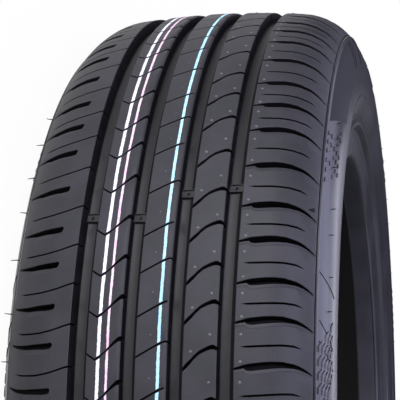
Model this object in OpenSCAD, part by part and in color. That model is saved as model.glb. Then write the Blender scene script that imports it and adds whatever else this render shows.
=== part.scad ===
// Radial car tyre, 205/55 R16, as it comes out of the mould, lying on its side.
// The axis of rotation is Z, and the middle of the tyre is the origin.
// A profile is a list of [axial, radial] points. Places on the tread are
// [across, along]: across is axial, along runs round the tread, both in mm.

/* [Size] */
// Overall diameter over the middle rib
overall_d = 632; // [600:1:664]
// Width over the sidewalls, unmounted
section_w = 201; // [190:1:224]
// Diameter of the rim's bead seat (16 inch rim)
bead_d = 405.6; // [400:0.2:412]

/* [Casing] */
// Radius of the crown, seen in section
crown_arc = 590; // [400:10:900]
// Radius of the shoulder and upper sidewall
shoulder_round = 45; // [36:1:47]
// Height of the flat ring at the widest point
belly = 8; // [4:0.5:12]
// Rubber and belts from the groove floor to the inner liner
under_tread = 7; // [5:0.5:9]
// Wall of the sidewall at its widest point
side_wall = 9; // [7:0.5:11]

/* [Bead] */
// Length of the cylindrical seat under each bead
seat_len = 12; // [8:0.5:14]
// From the widest point of the sidewall in to the outer face of the bead
heel_in = 11; // [9:0.5:13]
// Thickness of the bead above its seat
bead_w = 13; // [11:0.5:14]
// Height of the rim flange zone, as a share of the section's height
flange_share = 0.22; // [0.18:0.01:0.26]
// How far the rim protector stands out
protector = 2; // [0.5:0.5:3]

/* [Tread grooves] */
// Depth of the tread
tread_depth = 8; // [6:0.5:9]
// From the middle of the outer grooves out to where the shoulders begin to round
shoulder_land = 11.8; // [9:0.1:14]
// Place of the inner grooves, as a share of the way out to the outer ones
inner_groove_share = 0.318; // [0.3:0.002:0.34]
// Width of the outboard shoulder groove
groove_a = 9.8; // [8:0.1:11]
// Width of the two middle grooves
groove_b = 9.2; // [8:0.1:10.5]
// Width of the inboard shoulder groove
groove_c = 11.2; // [10:0.1:12]
// Radius taken off the trailing edges of the two middle ribs
rib_edge = 1.4; // [0.8:0.1:2]
// Height of a wear bar above the groove floor
bar_h = 1.6; // [1:0.1:2]
// Length of a wear bar round the groove
bar_len = 7; // [5:0.5:9]
// Number of wear bars round each groove
bars = 6; // [4:1:8]

/* [Tread pattern] */
// Number of pitches round the tread
pitches = 74; // [66:1:78]
// Length of a short pitch against a middle one
short_pitch = 0.885; // [0.86:0.005:0.95]
// Length of a long pitch against a middle one
long_pitch = 1.108; // [1.05:0.005:1.12]
// Width of a sipe
sipe_w = 0.8; // [0.5:0.1:1]
// Depth of a sipe
sipe_depth = 5; // [3:0.5:6]
// Depth of the lateral slots
slot_depth = 6.5; // [4:0.5:7.5]
// Width of the slots across the outboard shoulder
slot_w = 4; // [2.5:0.1:4.4]
// Width of the slots across the inboard shoulder
in_slot_w = 3.2; // [1.5:0.1:3.6]
// Width of the slots across the fourth rib
rib_slot_w = 2.2; // [1:0.1:2.6]

/* [Paint stripes] */
// Thickness of a stripe of paint
film = 0.15; // [0.1:0.05:0.3]
// Width of the white stripe
white_w = 2.8; // [1:0.1:3]
// Bare rib on the white stripe's left, as a share of what the stripes leave free
white_margin = 0.436; // [0.1:0.002:0.6]
// Width of the pink stripe
pink_w = 2.1; // [1:0.1:2.5]
// Gap between the white and the pink stripe, as a share of what they leave free
stripe_gap = 0.218; // [0.1:0.002:0.4]
// Width of the blue stripe
blue_w = 2.6; // [1:0.1:3]
// Bare rib on the blue stripe's left, as a share of what it leaves free
blue_margin = 0.885; // [0.1:0.005:1]

/* [Hidden] */
outer_r = overall_d / 2;
half_w = section_w / 2;
bead_r = bead_d / 2;
casing_t = tread_depth + under_tread;
section_h = outer_r - bead_r;
// On a low section the shoulder's round is limited by the height of the wall
shoulder_arc = min(shoulder_round, 0.42 * section_h);

// Centre of the crown arc, on the centre plane
crown_c = outer_r - crown_arc;
// Radius of the crown at a distance from the centre plane
function crown_r(a) = crown_c + sqrt(pow(crown_arc, 2) - a * a);
// Centre of an arc that touches the crown circle and the sidewall's widest point
function shoulder_c(crown, arc, half) =
    [half - arc, crown_c + sqrt(pow(crown - arc, 2) - pow(half - arc, 2))];
out_c = shoulder_c(crown_arc, shoulder_arc, half_w);
in_c = shoulder_c(crown_arc - casing_t, shoulder_arc - side_wall, half_w - side_wall);
outer_groove_at = out_c[0] - shoulder_land;
inner_groove_at = outer_groove_at * inner_groove_share;

// Points on an arc, from one angle to another
function arc(c, r, from, to, steps) =
    [for (i = [0:steps]) let (t = from + (to - from) * i / steps) c + r * [cos(t), sin(t)]];
function reversed(list) = [for (i = [len(list) - 1:-1:0]) list[i]];
function mirrored(list) = [for (p = reversed(list)) [-p[0], p[1]]];
function turned(list) = [for (p = list) [p[1], p[0]]];

// Angle at which the shoulder arc leaves the crown
out_top = 90 - asin(out_c[0] / (crown_arc - shoulder_arc));
in_top = 90 - asin(in_c[0] / (crown_arc - casing_t - shoulder_arc + side_wall));

// Fine line that runs round the shoulder below the tread: its angle on the shoulder
// arc, how deep it is cut, and how far the ridge beside it stands out
line_at = 37;
line_cut = 0.8;
line_ridge = 0.4;
line_pts = [
    for (s = [[0.6, 0], [0.4, -line_cut], [-0.4, -line_cut], [-0.6, line_ridge], [-2.6, line_ridge], [-3, 0]])
        let (t = line_at + s[0]) out_c + (shoulder_arc + s[1]) * [cos(t), sin(t)]
];
below_line = line_at - 3;
above_line = line_at + 0.6;

// Rim protector and bead: the nose is the height of the protector's outer face, the
// heel is rounded and the toe is bevelled
flange_h = section_h * flange_share;
flange_r = bead_r + flange_h;
nose = flange_h / 5;
face_a = half_w - heel_in;
heel = 5;
toe = 1.2;

// Lower sidewall: part of an ellipse, from the flat ring down to the rim protector.
// It takes a start, how far it goes in and how far down.
low_turn = 27;
function lower_wall(start, in, down) = [
    for (i = [0:4]) let (t = low_turn * i / 4)
        start - [in * (1 - cos(t)) / (1 - cos(low_turn)), down * sin(t) / sin(low_turn)]
];
low_r = out_c[1] - belly;
wall_in = heel_in - 2 * protector;
wall_down = low_r - flange_r - nose;
wall_pts = lower_wall([half_w, low_r], wall_in, wall_down);
wall_end = wall_pts[len(wall_pts) - 1];
// The liner turns a little less than the outside, so that the wall thickens to the bead
liner_share = 0.85;
toe_a = face_a - heel - seat_len;
bead_pts = concat(
    [wall_end + [protector, -nose / 2], [wall_end[0] + protector, flange_r]],
    [[face_a + protector, flange_r - nose / 2], [face_a, flange_r - 1.5 * nose]],
    arc([face_a - heel, bead_r + heel], heel, 0, -90, 4),
    [[toe_a, bead_r], [toe_a - toe, bead_r + toe], [toe_a - toe, bead_r + 3 * toe]],
    [[face_a - bead_w, bead_r + bead_w]]
);
liner_pts = concat(
    reversed(lower_wall([half_w - side_wall, low_r], wall_in * liner_share, wall_down * liner_share)),
    arc(in_c, shoulder_arc - side_wall, 0, in_top, 7)
);

// One side of the section, from the end of the crown round the bead to the liner
side_pts = concat(
    arc(out_c, shoulder_arc, out_top, above_line + 1, 4),
    line_pts,
    arc(out_c, shoulder_arc, below_line - 1, 0, 4),
    wall_pts,
    bead_pts,
    liner_pts
);

// The grooves: [centre, width, lean of the inboard wall, round of the inboard edge]
groove_lean = 0.4;
grooves = [
    [-outer_groove_at - (groove_c - groove_a) / 2, groove_c, 2.2, 0],
    [-inner_groove_at, groove_b, groove_lean, rib_edge],
    [inner_groove_at, groove_b, groove_lean, rib_edge],
    [outer_groove_at - (groove_c - groove_a) / 2, groove_a, groove_lean, 0]
];
function groove_floor(g) = crown_r(g[0]) - tread_depth;
function groove_pts(g) = let (l = g[0] - g[1] / 2, r = g[0] + g[1] / 2) concat(
    g[3] > 0 ? [[l - g[3] * 1.5, crown_r(l - g[3] * 1.5)]] : [],
    [[l, crown_r(l) - g[3] * 0.8], [l + g[2], groove_floor(g)]],
    [[r - groove_lean, groove_floor(g)], [r, crown_r(r)]]
);
tread_pts = [for (g = grooves) each groove_pts(g)];

section_pts = concat(mirrored(side_pts), tread_pts, side_pts);

module solid_of_revolution(points) {
    rotate_extrude($fn = 180) polygon(turned(points));
}

// Length of each pitch: long and short ones alternate to keep the tyre quiet
pitch_order = [2, 2, 0, 0, 2, 2, 0, 1, 0, 1];
pitch_kinds = [short_pitch, 1, long_pitch];
function pitch_len(k) = pitch_kinds[pitch_order[k % len(pitch_order)]];
pitch_ends = [for (k = 0, s = 0; k <= pitches; s = s + pitch_len(k), k = k + 1) s];
pitch_deg = 360 / pitch_ends[pitches];
first_pitch = -142.6;
// Angle of a place in a pitch: k is its number and f the share of its length
function pitch_angle(k, f) = first_pitch + (pitch_ends[k] + f * pitch_len(k)) * pitch_deg;

// A cut's path across the tread: a list of [across, along, width]
function ribbon(path) = concat(
    [for (p = path) [-p[1] - p[2] / 2, p[0]]],
    [for (p = reversed(path)) [-p[1] + p[2] / 2, p[0]]]
);
// The slots over the shoulders end just short of the fine line
slot_end = out_c[0] + shoulder_arc * cos(above_line + 1) - 0.4;

// Edges of a groove, and the ribs between them: [first edge, last edge], the first rib
// from its groove out to the inboard shoulder
function left_edge(g) = g[0] - g[1] / 2;
function right_edge(g) = g[0] + g[1] / 2;
rib1 = [left_edge(grooves[0]), -slot_end];
rib2 = [right_edge(grooves[0]), left_edge(grooves[1])];
rib3 = [right_edge(grooves[1]), left_edge(grooves[2])];
rib4 = [right_edge(grooves[2]), left_edge(grooves[3])];
rib5 = [right_edge(grooves[3]), slot_end];
// A place across a rib, as a share of its width
function over(rib, share) = rib[0] + share * (rib[1] - rib[0]);
// A path whose places across the rib are shares of its width
function on_rib(rib, path) = [for (p = path) [over(rib, p[0]), p[1], p[2]]];

rib2_sipe = on_rib(rib2, [[-0.04, 4.5, sipe_w], [0.256, 0, sipe_w], [0.65, 6.8, sipe_w], [1.1, 12.8, 2.8]]);
rib3_blind = on_rib(rib3, [[-0.04, -0.6, sipe_w], [0.77, 8.2, sipe_w], [0.94, 9.2, sipe_w]]);
rib3_open = on_rib(rib3, [[-0.04, -0.6, sipe_w], [0.77, 8.2, sipe_w], [1.07, 8.8, sipe_w]]);
rib4_slot = on_rib(rib4, [
    [-0.02, -0.6, rib_slot_w + 0.4],
    [0.38, 8.2, rib_slot_w],
    [0.74, 12.6, rib_slot_w],
    [1.05, 11.8, rib_slot_w]
]);
out_slot = on_rib(rib5, [
    [-0.02, 0.3, 1.2],
    [0.145, 1.9, 2],
    [0.2, 1.5, slot_w],
    [0.75, 3.4, slot_w * 0.75],
    [1, -1.5, 0.9]
]);
out_sipe = on_rib(rib5, [[0.126, 0, sipe_w], [0.83, 1.6, sipe_w]]);
in_slot = on_rib(rib1, [[0.26, -0.4, 1], [0.32, -1.1, in_slot_w], [0.714, -1, in_slot_w * 0.85], [1, 2.2, 1.1]]);
in_ledge = on_rib(rib1, [[0.27, -2.8, 3.2], [0.739, -2.8, 4.4]]);
in_sipe = on_rib(rib1, [[0.842, -3.9, sipe_w], [0.492, -4.9, sipe_w], [-0.025, 0.2, sipe_w]]);
// How far each rib's cuts are turned against those of the outboard shoulder
rib_turns = [2.1, 6, 3.6, 0, 0];

// Radius of the tread at a distance from the centre plane, over the shoulder as well
function tread_r(a) = abs(a) < out_c[0]
    ? crown_r(a)
    : out_c[1] + sqrt(pow(shoulder_arc, 2) - pow(abs(a) - out_c[0], 2));
// A floor seen in section: a list of [across, depth]
function floor_pts(depths) = concat(
    [for (d = depths) [tread_r(d[0]) - d[1], d[0]]],
    [for (d = reversed(depths)) [outer_r + 2, d[0]]]
);
out_depths = [[over(rib5, -0.04), slot_depth], [over(rib5, 0.7), slot_depth], [slot_end + 0.1, 0.3]];
out_sipe_depths = [[over(rib5, 0.1), sipe_depth], [over(rib5, 0.87), 1]];
in_depths = [[-slot_end - 0.1, 0.3], [over(rib1, 0.74), slot_depth * 0.8], [over(rib1, 0.25), slot_depth]];
in_ledge_depths = [[over(rib1, 0.763), 1.2], [over(rib1, 0.246), 2.2]];
in_sipe_depths = [[over(rib1, 0.862), 0.6], [over(rib1, -0.05), sipe_depth]];

// Something in each pitch, at a share of its length and turned by an angle
module each_pitch(f = 0, turn = 0, every = 1, from = 0) {
    for (k = [from:every:pitches - 1])
        rotate([0, 0, pitch_angle(k, f) + turn]) children();
}

// A cut with straight walls and a floor at one radius
module cut(path, floor_r) {
    rotate([90, 0, 90])
        translate([0, 0, floor_r])
            linear_extrude(outer_r - floor_r + 2)
                polygon(ribbon(path));
}

// Half the height of the block that gives a cut its floor, more than any path goes along
reach = 12;
// A cut whose floor follows the shoulder
module shoulder_cut(path, depths) {
    intersection() {
        cut(path, out_c[1]);
        rotate([90, 0, 0])
            translate([0, 0, -reach])
                linear_extrude(2 * reach)
                    polygon(floor_pts(depths));
    }
}

// Wear bars: the angle of the first set, and how far the bar in each groove is turned from it
bar_deg = bar_len / outer_r * 180 / PI;
bar_turns = [4.4, 4.7, 1.6, 0.8];
first_bar = -116.8;
module wear_bars() {
    for (k = [0:bars - 1], i = [0:len(grooves) - 1])
        let (g = grooves[i])
            rotate([0, 0, first_bar + bar_turns[i] + k * 360 / bars])
                rotate_extrude(angle = bar_deg, $fn = 180)
                    translate([groove_floor(g) - 1, g[0] - g[1] / 2 - 0.6])
                        square([bar_h + 1, g[1] + 1.2]);
}
module tyre() {
    color("#3a393d")
        difference() {
            union() {
                solid_of_revolution(section_pts);
                wear_bars();
            }
            each_pitch(0.5, rib_turns[1]) cut(rib2_sipe, crown_r(over(rib2, 0.5)) - sipe_depth);
            each_pitch(0, rib_turns[2], 2) cut(rib3_blind, outer_r - sipe_depth);
            each_pitch(0, rib_turns[2], 2, 1) cut(rib3_open, outer_r - sipe_depth);
            each_pitch(0, rib_turns[3]) cut(rib4_slot, crown_r(over(rib4, 0.5)) - slot_depth);
            each_pitch(0, rib_turns[4]) shoulder_cut(out_slot, out_depths);
            each_pitch(0.5, rib_turns[4]) shoulder_cut(out_sipe, out_sipe_depths);
            each_pitch(0, rib_turns[0]) shoulder_cut(in_slot, in_depths);
            each_pitch(0, rib_turns[0]) shoulder_cut(in_ledge, in_ledge_depths);
            each_pitch(0.5, rib_turns[0]) shoulder_cut(in_sipe, in_sipe_depths);
        }
}

// The flat band of a rib that carries paint, without its rounded edge
function band(rib) = [rib[0], rib[1] - rib_edge * 1.5];
band2 = band(rib2);
band3 = band(rib3);
free2 = band2[1] - band2[0] - white_w - pink_w;
free3 = band3[1] - band3[0] - blue_w;
white_from = band2[0] + free2 * white_margin;
pink_from = white_from + white_w + free2 * stripe_gap;
blue_from = band3[0] + free3 * blue_margin;

// A ring of paint that lies on a rib's flat band
module stripe(band, from, width) {
    slope = (crown_r(band[1]) - crown_r(band[0])) / (band[1] - band[0]);
    rotate_extrude($fn = 180)
        polygon([
            for (p = [[0, 0], [width, 0], [width, film], [0, film]])
                let (a = from + p[0]) [crown_r(band[0]) + slope * (a - band[0]) + p[1], a]
        ]);
}

module white_stripe() {
    color("#f6f6f6") stripe(band2, white_from, white_w);
}

module pink_stripe() {
    color("#f4d3e0") stripe(band2, pink_from, pink_w);
}

module blue_stripe() {
    color("#b5e8f6") stripe(band3, blue_from, blue_w);
}

tyre();
white_stripe();
pink_stripe();
blue_stripe();
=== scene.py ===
# %% [markdown]
# # A car tyre, dressed over its CAD solid
# This file is a lesson in cells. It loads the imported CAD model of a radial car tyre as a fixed
# frame and builds the surfaces that a camera sees: the tread with its slots and sipes, the
# sidewalls, the liner, the paint rings and the small marks that the mould leaves.
# Lengths are in millimetres in the arrays and turn into metres when a mesh is made. Angles round
# the tyre are in degrees. "Across" is a place along the axis, and +Z is the outboard side.

# %% Load the frame
import math
import bpy
import numpy as np
from mathutils import Matrix, Vector


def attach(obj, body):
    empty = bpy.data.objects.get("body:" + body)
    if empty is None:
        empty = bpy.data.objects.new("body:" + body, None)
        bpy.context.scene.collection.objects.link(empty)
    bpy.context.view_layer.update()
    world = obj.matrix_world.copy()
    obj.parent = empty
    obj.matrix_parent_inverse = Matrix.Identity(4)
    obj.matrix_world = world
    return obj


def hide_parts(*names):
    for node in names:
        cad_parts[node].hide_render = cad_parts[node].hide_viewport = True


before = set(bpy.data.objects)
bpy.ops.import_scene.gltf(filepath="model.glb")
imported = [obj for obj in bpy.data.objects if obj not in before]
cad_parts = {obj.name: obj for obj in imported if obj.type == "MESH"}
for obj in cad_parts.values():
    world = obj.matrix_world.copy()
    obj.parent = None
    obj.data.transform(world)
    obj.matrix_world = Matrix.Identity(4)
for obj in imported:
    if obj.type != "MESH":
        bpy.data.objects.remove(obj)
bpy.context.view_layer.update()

# %% [markdown]
# ## Section of the tyre
# A tyre is a solid of revolution with a pattern cut into it, so everything starts from its
# section: a crown of large radius, a shoulder arc that touches it, a lower wall and the bead.
# The values repeat the CAD model's, because the dressed tyre has to lie on the same surfaces.
# We could also sample the CAD mesh, but formulas let us put columns just where the cuts need them.

# %% Sizes of the section
MM = 0.001
OUTER_R = 316.0
HALF_W = 100.5
BEAD_R = 202.8
CROWN_ARC = 590.0
SHOULDER_ARC = 45.0
TREAD_DEPTH = 8.0
UNDER_TREAD = 7.0
CASING_T = TREAD_DEPTH + UNDER_TREAD
SIDE_WALL = 9.0
CROWN_C = OUTER_R - CROWN_ARC
print("section:", 2 * OUTER_R, "mm over all,", 2 * HALF_W, "wide,", 2 * BEAD_R, "at the bead")


# %% Surface of the tread
def touching_arc(crown, arc, half):
    """Centre of an arc that touches the crown circle and the widest point: (a, r) with
    a = half - arc and r = crown centre + sqrt((crown - arc)^2 - a^2)."""
    a = half - arc
    return np.array([a, CROWN_C + math.sqrt((crown - arc) ** 2 - a * a)])


OUT_C = touching_arc(CROWN_ARC, SHOULDER_ARC, HALF_W)
IN_C = touching_arc(CROWN_ARC - CASING_T, SHOULDER_ARC - SIDE_WALL, HALF_W - SIDE_WALL)
TOUCH_A = OUT_C[0] * CROWN_ARC / (CROWN_ARC - SHOULDER_ARC)


def surface_r(a):
    """Radius of the tread surface: the crown circle out to where the shoulder arc touches it,
    then the arc, r = centre + sqrt(radius^2 - distance^2)."""
    a = np.abs(np.asarray(a, float))
    crown = CROWN_C + np.sqrt(CROWN_ARC ** 2 - a ** 2)
    arc = OUT_C[1] + np.sqrt(np.maximum(SHOULDER_ARC ** 2 - (a - OUT_C[0]) ** 2, 0))
    return np.where(a < TOUCH_A, crown, arc)


print("shoulder arc centre", OUT_C.round(2), "touches the crown at", round(TOUCH_A, 2))

# %% [markdown]
# ## Pitches
# The pattern repeats in pitches of three lengths, mixed so that the tyre doesn't hum on one note.
# All cuts are placed by the angle of a pitch boundary, so one array of angles drives the tread.
# The three inboard ribs are each turned by a few degrees more, as they are on the real tyre.

# %% Angles of the pitches
PITCHES = 74
ORDER = np.array([2, 2, 0, 0, 2, 2, 0, 1, 0, 1])
LENGTHS = np.array([0.885, 1.0, 1.108])[ORDER[np.arange(PITCHES) % len(ORDER)]]
ENDS = np.concatenate([[0], np.cumsum(LENGTHS)])
PITCH_DEG = 360 / ENDS[-1]
FIRST_PITCH = -142.6
RIB_TURNS = (2.1, 6, 3.6, 0, 0)


def pitch_angle(share, rib):
    """Angles, in degrees, of a place at a share of each pitch's length, turned as the rib is.
    The ribs are counted from 1, on the inboard shoulder, to 5."""
    return FIRST_PITCH + (ENDS[:-1] + share * LENGTHS) * PITCH_DEG + RIB_TURNS[rib - 1]


print("pitch lengths in mm:", (np.radians(PITCH_DEG) * OUTER_R * np.unique(LENGTHS)).round(1))

# %% [markdown]
# ## Cuts in a rib
# A slot or sipe runs across a rib along a path. Each path gives a few rows of points: the land
# beside it, its edge, its wall's foot, the other foot and the other edge. Rows of all cuts and a
# row or two between them, crossed with columns over the rib's width, make one grid for a whole rib.
# Where a cut ends inside the rib its width and depth fade to nothing, so the grid never breaks.
# Boolean cutters would give the same slots, but leave long thin faces that shade badly.

# %% Rows of a cut
FOOT_SHARE = 0.4
EDGE_DROP = 0.8
FAR_LEAN = 0.05


def follow(points, a):
    """Values of a polyline [(across, value, ...)] at the columns a, one array for each value."""
    p = np.array(sorted(points), float)
    return [np.interp(a, p[:, 0], p[:, k]) for k in range(1, p.shape[1])]


def cut_rows(a, path, depth, bevel=0.0, ledge=None):
    """Rows of one cut: (along, down) for each row and column. The path is (across, s, width).
    The edges lie at along = -s -/+ width / 2, because s runs against the angle, and the feet
    at -s -/+ 0.4 width. The depth is (across, depth) and a ledge beside the far edge
    (across, width, depth at the cut, depth outside)."""
    s, w = follow(path, a)
    d = follow(depth, a)[0]
    b = bevel * np.clip(w, 0, 1)
    zero = np.zeros_like(a)
    rows = []
    if bevel > 0:
        rows.append((-s - w / 2 - b, zero))
    rows.append((-s - w / 2, b * EDGE_DROP))
    rows.append((-s - w * FOOT_SHARE, d))
    rows.append((-s + w * FOOT_SHARE, d))
    if ledge is not None:
        ledge_w, at_cut, outside = follow(ledge, a)
        rows.append((-s + w / 2, at_cut))
        rows.append((-s + w / 2 + ledge_w, outside))
        w = w + 2 * ledge_w
    lean = FAR_LEAN * np.clip(w, 0, 1)
    rows.append((-s + w / 2 + lean, b * EDGE_DROP))
    if bevel > 0:
        rows.append((-s + w / 2 + lean + b, zero))
    return np.array([r[0] for r in rows]), np.array([r[1] for r in rows])


# %% [markdown]
# ## A rib as one grid
# A column is a place across the rib with a drop: nothing on the land, and more and more down the
# wall of the groove beside it. A point lies at radius surface - max(drop, depth of the cut), so
# a slot that opens into a groove cuts a clean notch in the groove's wall.

# %% The grid of a rib
def land(*places):
    """Columns on the land, where nothing drops: (across, 0)."""
    return [(a, 0) for a in places]


def rib_grid(columns, cuts, between=1):
    """Angles (degrees) and radii of a rib, both (rows, columns). cuts is a list of (pitch angles,
    [variants of rows]); the rows between two cuts divide the gap evenly, column by column."""
    a, drop = np.array(columns, float).T
    k = np.arange(PITCHES)
    blocks = []
    for angles, variants in cuts:
        along = np.array([v[0] for v in variants])[k % len(variants)]
        down = np.array([v[1] for v in variants])[k % len(variants)]
        blocks.append((angles[:, None, None] + np.degrees(along / OUTER_R), down))
    parts_a, parts_d = [], []
    for i, (angle, down) in enumerate(blocks):
        parts_a.append(angle)
        parts_d.append(down)
        if i + 1 < len(blocks):
            after = blocks[i + 1][0][:, 0]
        else:
            after = np.roll(blocks[0][0][:, 0], -1, axis=0).copy()
            after[-1] += 360
        for m in range(between):
            f = (m + 1) / (between + 1)
            parts_a.append((angle[:, -1] * (1 - f) + after * f)[:, None])
            parts_d.append(np.zeros((PITCHES, 1, len(a))))
    angle = np.concatenate(parts_a, axis=1).reshape(-1, len(a))
    down = np.concatenate(parts_d, axis=1).reshape(-1, len(a))
    depth = np.maximum(down, drop)
    return {"a": np.broadcast_to(a, angle.shape), "angle": angle, "r": surface_r(a) - depth, "depth": depth}


# %% [markdown]
# ## Grooves
# Four grooves run round the tread and carry the water off. Their walls belong to the ribs; the
# floor between two ribs is stitched later. The outboard edges of the second and the middle rib
# are rounded, the others have a small bevel that catches the light. A wall could meet the floor at
# a sharp corner, but rubber would tear there, so each foot gets a small fillet. The wide fillet at
# a rib's left foot takes the near-black rubber of the cuts, a painted shadow of that wall on the floor.

# %% Walls of the grooves
# Each groove is (middle, width, lean of its left wall, round of its left edge)
GROOVES = [(-44.4, 11.2, 2.2, 0.0), (-13.9, 9.2, 0.4, 1.4), (13.9, 9.2, 0.4, 1.4), (43.0, 9.8, 0.4, 0.0)]
RIGHT_LEAN = 0.4
BEVEL_W, BEVEL_DROP = 0.45, 0.3


def floor_r(groove):
    """Radius of a groove's floor: the crown at its middle less the tread depth."""
    return float(surface_r(groove[0])) - TREAD_DEPTH


def wall_right_of_rib(groove):
    """Columns from a rib's land down the groove on its right: (across, drop)."""
    middle, width, lean, edge = groove
    left = middle - width / 2
    foot = left + lean
    deep = float(surface_r(foot)) - floor_r(groove)
    top = [(left - BEVEL_W, 0), (left, BEVEL_DROP)]
    if edge:
        top = [(left - 1.5 * edge, 0), (left - 0.8 * edge, 0.12 * edge)]
        top += [(left - 0.3 * edge, 0.38 * edge), (left, 0.8 * edge)]
    wall = [(left + lean * 0.5, deep * 0.5), (foot, deep - 1.1)]
    return top + wall + [(foot + 0.35, deep - 0.35), (foot + 1.1, deep)]


def wall_left_of_rib(groove):
    """Columns from the floor of the groove on a rib's left up to its land: (across, drop)."""
    right = groove[0] + groove[1] / 2
    deep = float(surface_r(right - RIGHT_LEAN)) - floor_r(groove)
    # These first columns lie deep enough to take the near-black cut rubber: a painted shadow that this wall
    # casts on the groove floor.
    fillet = [(right - 3.3, deep), (right - 2.0, deep - 0.25), (right - 0.9, deep - 0.9)]
    wall = [(right - 0.45, deep - 2.0), (right - 0.2, deep * 0.45)]
    return fillet + wall + [(right, BEVEL_DROP), (right + BEVEL_W, 0)]


print("groove floors at", [round(floor_r(g), 2) for g in GROOVES])

# %% [markdown]
# ## Inboard shoulder rib
# The inboard shoulder has a slot with a ledge beside it and a long thin sipe in each pitch. Slots
# let the water out sideways; sipes give a block more edges that bite on a wet road. The slot ends
# bluntly inside the rib, so its width and depth drop to nothing between two columns that lie only
# 1.2 mm apart: a longer fade would draw it out to a point.

# %% Inboard shoulder rib
LAND_END = 90.9
SLOT_BEVEL = 0.3
rib1_cols = land(-LAND_END, -89.6, -87, -84.6, -82.4, -80, -78, -74, -70, -66, -63, -61.6, -60.4, -53.5)
rib1_cols += wall_right_of_rib(GROOVES[0])
a1 = np.array(rib1_cols)[:, 0]
in_slot = cut_rows(
    a1,
    [(-91, 2.6, 0.5), (-89.6, 2.2, 1.2), (-85, 0.2, 2), (-79, -1, 2.7), (-66, -1.2, 3.5),
     (-63, -0.9, 3.3), (-61.6, -0.5, 3.0), (-60.4, 0, 0), (-50, 1, 0)],
    [(-91, 0.1), (-89.6, 0.8), (-80, 5.8), (-63, 7), (-61.6, 6.6), (-60.4, 0), (-50, 0)],
    bevel=SLOT_BEVEL,
    ledge=[(-91, 0, 0, 0), (-84, 0, 0, 0), (-80, 2.6, 1.0, 0.4), (-61.6, 2.5, 1.2, 0.4),
           (-60.4, 0, 0, 0), (-50, 0, 0, 0)],
)
in_sipe = cut_rows(
    a1,
    [(-91, -1, 0), (-84.9, -3.2, 0), (-84.2, -3.5, 0.9), (-82, -4.3, 1), (-76, -4.9, 1),
     (-70, -4.9, 1), (-64, -4, 1), (-59, -2.8, 1), (-54, -1, 1.1), (-47, 0.9, 1.1)],
    [(-91, 0), (-84.9, 0), (-84.2, 1.5), (-76, 4), (-60, 6), (-47, 6)],
)
rib1 = rib_grid(rib1_cols, [(pitch_angle(0, 1), [in_slot]), (pitch_angle(0.5, 1), [in_sipe])])
print("inboard shoulder rib:", rib1["r"].shape)

# %% [markdown]
# ## Second rib
# The second rib has one V-shaped sipe in each pitch, which opens out towards the middle of the
# tyre. It could be two straight cuts, but one path gives the tip of the V and the wide mouth in
# one go. The cut is kept by itself, because the paint rings on this rib are broken at it.

# %% Second rib
rib2_cols = wall_left_of_rib(GROOVES[0])
rib2_cols += land(-36, -33.6, -31, -27.5, -25.5, -23) + wall_right_of_rib(GROOVES[1])
v_path = [(-40, 4.6, 1.1), (-37.5, 2.5, 1.1), (-33.6, 0, 1.1), (-30, 2.2, 1.1), (-26, 6.2, 1.1),
          (-24.6, 8, 1.8), (-20, 12, 2.8), (-17, 12.9, 3)]
v_cut = (v_path, [(-40, 6), (-26, 6), (-24, 7), (-17, 7)], 0.15)
v_sipe = cut_rows(np.array(rib2_cols)[:, 0], *v_cut)
rib2 = rib_grid(rib2_cols, [(pitch_angle(0.5, 2), [v_sipe])], between=2)
print("second rib:", rib2["r"].shape)

# %% [markdown]
# ## Middle rib
# The middle rib carries the most load, so its sipes are thin, and only every second one reaches
# the next groove. The two kinds are variants of one cut and have the same number of rows, so they
# take turns from pitch to pitch and the grid stays regular.

# %% Middle rib
rib3_cols = wall_left_of_rib(GROOVES[1]) + land(-6, -2.5, 1, 4.5) + wall_right_of_rib(GROOVES[2])
a3 = np.array(rib3_cols)[:, 0]
SIPE_BEVEL = 0.12
sipe_path = [(-10, -0.6, 1.1), (-5, 2.4, 1.1), (-1, 4.7, 1.1), (3, 7, 1.1), (6, 8.6, 1.1), (8.2, 9.2, 1.0)]
blind_path = sipe_path + [(8.5, 9.2, 0), (10, 9, 0)]
blind_sipe = cut_rows(a3, blind_path, [(-10, 6), (6.5, 6), (8.3, 0), (10, 0)], bevel=SIPE_BEVEL)
open_cut = (sipe_path + [(10, 8.7, 1.0)], [(-10, 6), (10, 6)], SIPE_BEVEL)
open_sipe = cut_rows(a3, *open_cut)
rib3 = rib_grid(rib3_cols, [(pitch_angle(0, 3), [blind_sipe, open_sipe])], between=2)
print("middle rib:", rib3["r"].shape)

# %% [markdown]
# ## Fourth rib
# The fourth rib is cut right through by an S-shaped slot in each pitch, which joins two grooves.
# Its path goes past both ends of the rib, so the slot notches both walls and nothing has to fade.

# %% Fourth rib
rib4_cols = wall_left_of_rib(GROOVES[2])
rib4_cols += land(21, 23, 25, 28, 31.5, 34.5, 36.2) + wall_right_of_rib(GROOVES[3])
s_slot = cut_rows(
    np.array(rib4_cols)[:, 0],
    [(18, -0.8, 2.4), (21, 2.5, 2.7), (23, 4.5, 2.5), (25, 7, 2.2), (28, 9.8, 2.0),
     (32, 12, 2.1), (35, 13.1, 2.5), (36.5, 13, 2.5), (39, 11.6, 1.9)],
    [(18, 7), (39, 7)],
    bevel=SLOT_BEVEL,
)
rib4 = rib_grid(rib4_cols, [(pitch_angle(0, 4), [s_slot])], between=2)
print("fourth rib:", rib4["r"].shape)

# %% [markdown]
# ## Outboard shoulder rib
# The outboard shoulder leans hardest on the road in a bend. It has a wide slot with a chamfer
# along its far edge, which gets shallower over the shoulder until it fades out, and a short sipe
# with two closed ends. The path has a point at each of the outer columns, so that it turns down
# in a smooth curve; with fewer points it would bend in straight steps.

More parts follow.
